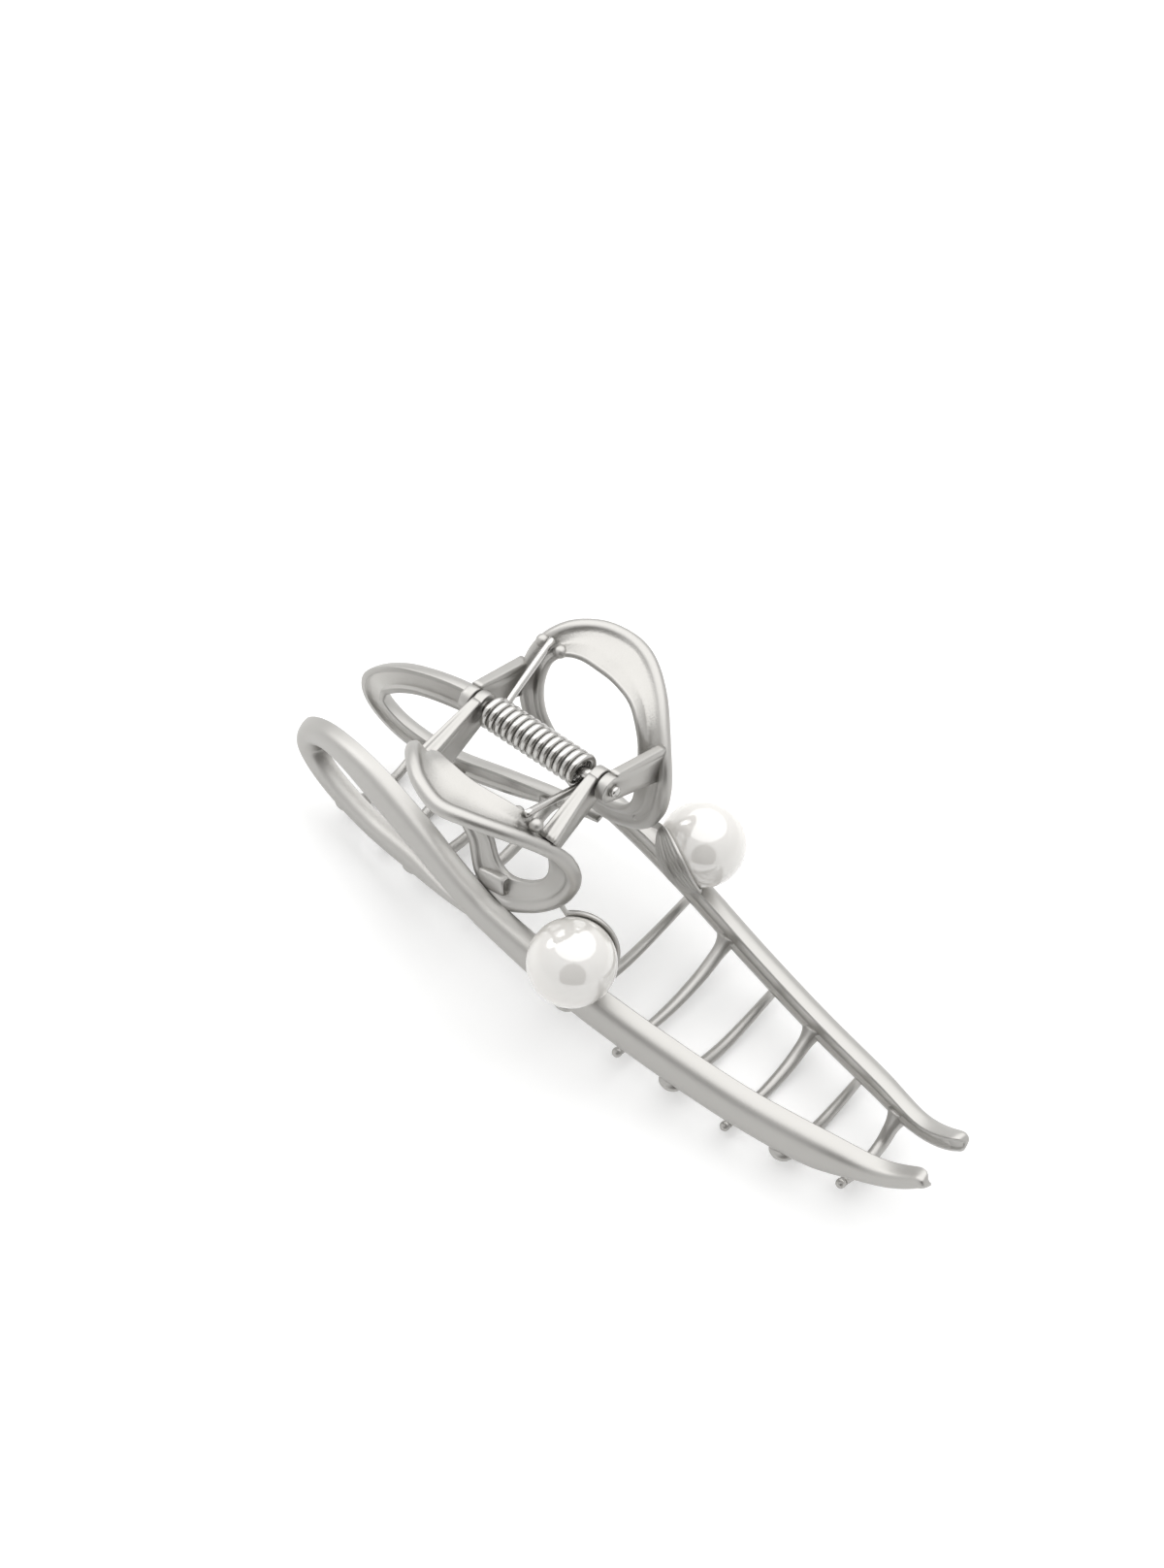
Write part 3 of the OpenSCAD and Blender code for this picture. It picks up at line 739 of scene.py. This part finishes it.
# %% Pin
pin_half = EAR_SPAN / 2 + 2 * EAR_T + EAR_GAP + 0.9
pin_end = [(-pin_half + (1 - math.cos(a)) * 0.35, math.sin(a)) for a in np.radians([15, 40, 65, 90])]
pin_middle = [(x, 1.0) for x in np.linspace(-pin_half + 0.6, pin_half - 0.6, 8)]
pin_profile = pin_end + pin_middle + [(-x, r) for x, r in reversed(pin_end)]
pin_rings = [[(PIN_MIDDLE + x, PIN_D / 2 * r * math.cos(a), PIN_D / 2 * r * math.sin(a)) for a in around(40)]
             for x, r in pin_profile]
points, faces = skin(pin_rings)
add_piece("pin", points, faces, "rear", "rear_half", "hinge_pin", [WIRE_METAL])
print("pin:", PIN_D, "mm thick and", round(2 * pin_half, 1), "mm long")

# %% [markdown] The torsion spring is one wire: a straight leg that rests on the rear ring, fourteen close
# turns round the pin, and a leg on the front ring.

# %% Torsion spring
WIRE_D, COIL_D, TURNS, PITCH = 1.05, 4.9, 14, 1.15
coil_r = (COIL_D - WIRE_D) / 2
coil_left = PIN_MIDDLE - TURNS * PITCH / 2 - 0.3
coil_right = coil_left + TURNS * PITCH
REAR_SEAT, FRONT_SEAT = (12.3, 4.05), (11.6, 1.95)
TURN_STEPS, LEG_STEPS, WIRE_SIDES = 30, 12, 14
rear_foot = [coil_left - 0.1, REAR_SEAT[0], REAR_SEAT[1]]
front_foot = [coil_right + 0.2, -FRONT_SEAT[0], FRONT_SEAT[1]]
rear_leg = np.linspace(rear_foot, [coil_left, 1.2, -coil_r + 0.1], LEG_STEPS)
front_leg = np.linspace([coil_right + 0.03, -1.2, -coil_r + 0.1], front_foot, LEG_STEPS)
coil = []
for k in range(3, TURNS * TURN_STEPS - 2):
    a = -math.pi / 2 - 2 * math.pi * k / TURN_STEPS
    coil.append(np.array([coil_left + PITCH * k / TURN_STEPS, coil_r * math.cos(a), coil_r * math.sin(a)]))
wire_path = [*rear_leg, *coil, *front_leg]
points, faces = skin(rod(wire_path, WIRE_D / 2, WIRE_SIDES, (0.6, 0.01, 0.8)))
spring = add_piece("spring", points, faces, "rear", None, "torsion_spring", [WIRE_METAL])
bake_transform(spring)
print("spring wire:", len(wire_path), "points")

# %% [markdown]
# Two small nubs on each ring keep the spring's leg from sliding sideways. They are half buried in the
# casting.

# %% Nubs for the spring
NUB_D, NUB_SINK = 1.9, 1.15
nub_x = WIRE_D / 2 + NUB_D / 2 + 0.1
for side, x, seat in (("front", front_foot[0], FRONT_SEAT), ("rear", rear_foot[0], REAR_SEAT)):
    points, faces = [], []
    for s in (-1, 1):
        middle = np.array([x + s * nub_x, seat[0] - 0.3, seat[1] - NUB_SINK])
        p, f = skin(ball(middle, NUB_D / 2, 28, 15, 86, np.eye(3)), start=len(points))
        points += p
        faces += f
    add_piece(side + "_nubs", points, faces, side, side + "_half", side + "_spring_stops",
              [PLATE])
print("nubs:", NUB_D, "mm,", nub_x, "mm to each side of the leg")

# %% [markdown]
# The pearl sits on the bar's rim and a leaf cups it from the hinge side. The leaf is drawn on a sphere just
# larger than the pearl: one angle runs along the rib, the other across it. A raised rib and parallel veins
# are cut into its back, and it grows out of the ring on a short stem.

# %% Pearl and leaf
PEARL_D, SEAT_GAP, LEAF_T = 12.0, 0.05, 0.9
pearl_r = PEARL_D / 2
lean = math.radians(28)
pearl_at = jaw_rim(6.06) + (pearl_r + SEAT_GAP) * np.array([0, math.sin(lean), math.cos(lean)])
leaf_dir = unit([0.13, -0.96, 0.25])
rib_run = np.array([0.78, 0, -0.62])
rib_dir = unit(rib_run - np.dot(rib_run, leaf_dir) * leaf_dir)
side_dir = np.cross(leaf_dir, rib_dir)
LEAF_START, LEAF_TIP, LEAF_WIDE, LEAF_LOW, LEAF_BEND = -52, 74, 21, 9, 25
STEM_R, LEAF_ACROSS = 0.75, 64
leaf_r = pearl_r + SEAT_GAP + LEAF_T / 2


def leaf_point(a, w, r):
    a, w = math.radians(a), math.radians(w)
    along_rib = math.sin(a) * rib_dir + math.cos(a) * leaf_dir
    return pearl_at + r * (math.cos(w) * along_rib + math.sin(w) * side_dir)


def leaf_section(a, w, r, half_w, half_t, veins):
    thin = lambda s: math.sqrt(max(0.0, 1 - abs(s) ** 6))
    ring = []
    for s in np.linspace(-1, 1, LEAF_ACROSS + 1):
        groove = veins * (0.14 * math.exp(-((s / 0.07) ** 2)) + 0.07 * math.cos(9 * math.pi * abs(s)))
        ring.append(leaf_point(a, w + half_w * s, r + half_t * thin(s) * 0.7 + groove))
    for s in np.linspace(1, -1, LEAF_ACROSS + 1)[1:-1]:
        ring.append(leaf_point(a, w + half_w * s, r - half_t * thin(s)))
    return ring


foot = (tab_point(TAB_INNER[7]) + tab_point(TAB_OUTER[7])) / 2 - pearl_at
foot_axes = np.array([np.dot(rib_dir, foot), np.dot(side_dir, foot), np.dot(leaf_dir, foot)])
foot_r = np.linalg.norm(foot)
stem_from = math.degrees(math.atan2(foot_axes[0], foot_axes[2]))
foot_w = math.degrees(math.asin(foot_axes[1] / foot_r))
stem_half = STEM_R / leaf_r * 57
leaf_rings = []
for f in np.arange(0, 1, 1 / 10):
    g = f * f * (3 - 2 * f)
    leaf_rings.append(leaf_section(
        stem_from + (LEAF_START - stem_from) * f, foot_w * (1 - g) - LEAF_LOW * g,
        foot_r * (1 - g) + leaf_r * g, stem_half, STEM_R * (1 - g) + LEAF_T / 2 * g, veins=0.3 * g))
for f in np.linspace(0, 1, 48):
    wide = max(0.4, stem_half * (1 - f) + LEAF_WIDE * math.sin(math.pi * f**0.85) ** 0.9)
    leaf_rings.append(leaf_section(
        LEAF_START + (LEAF_TIP - LEAF_START) * f, -LEAF_LOW - LEAF_BEND * f * f, leaf_r,
        wide, LEAF_T / 2, veins=0.3 + 0.7 * math.sin(math.pi * f)))
leaf_points, leaf_faces = skin(leaf_rings)
for side in ("front", "rear"):
    add_piece(side + "_leaf_and_stem", leaf_points, leaf_faces, side, side + "_half", side + "_leaf",
              [PLATE])
pearl_points, pearl_faces = skin(ball(pearl_at, pearl_r, 72, 45, 89, (rib_dir, side_dir, leaf_dir)))
for side in ("front", "rear"):
    add_piece(side + "_pearl_bead", pearl_points, pearl_faces, side, side + "_half", side + "_pearl",
              [PEARL])
print("pearls:", PEARL_D, "mm, leaves of", len(leaf_faces), "faces")

# %% [markdown]
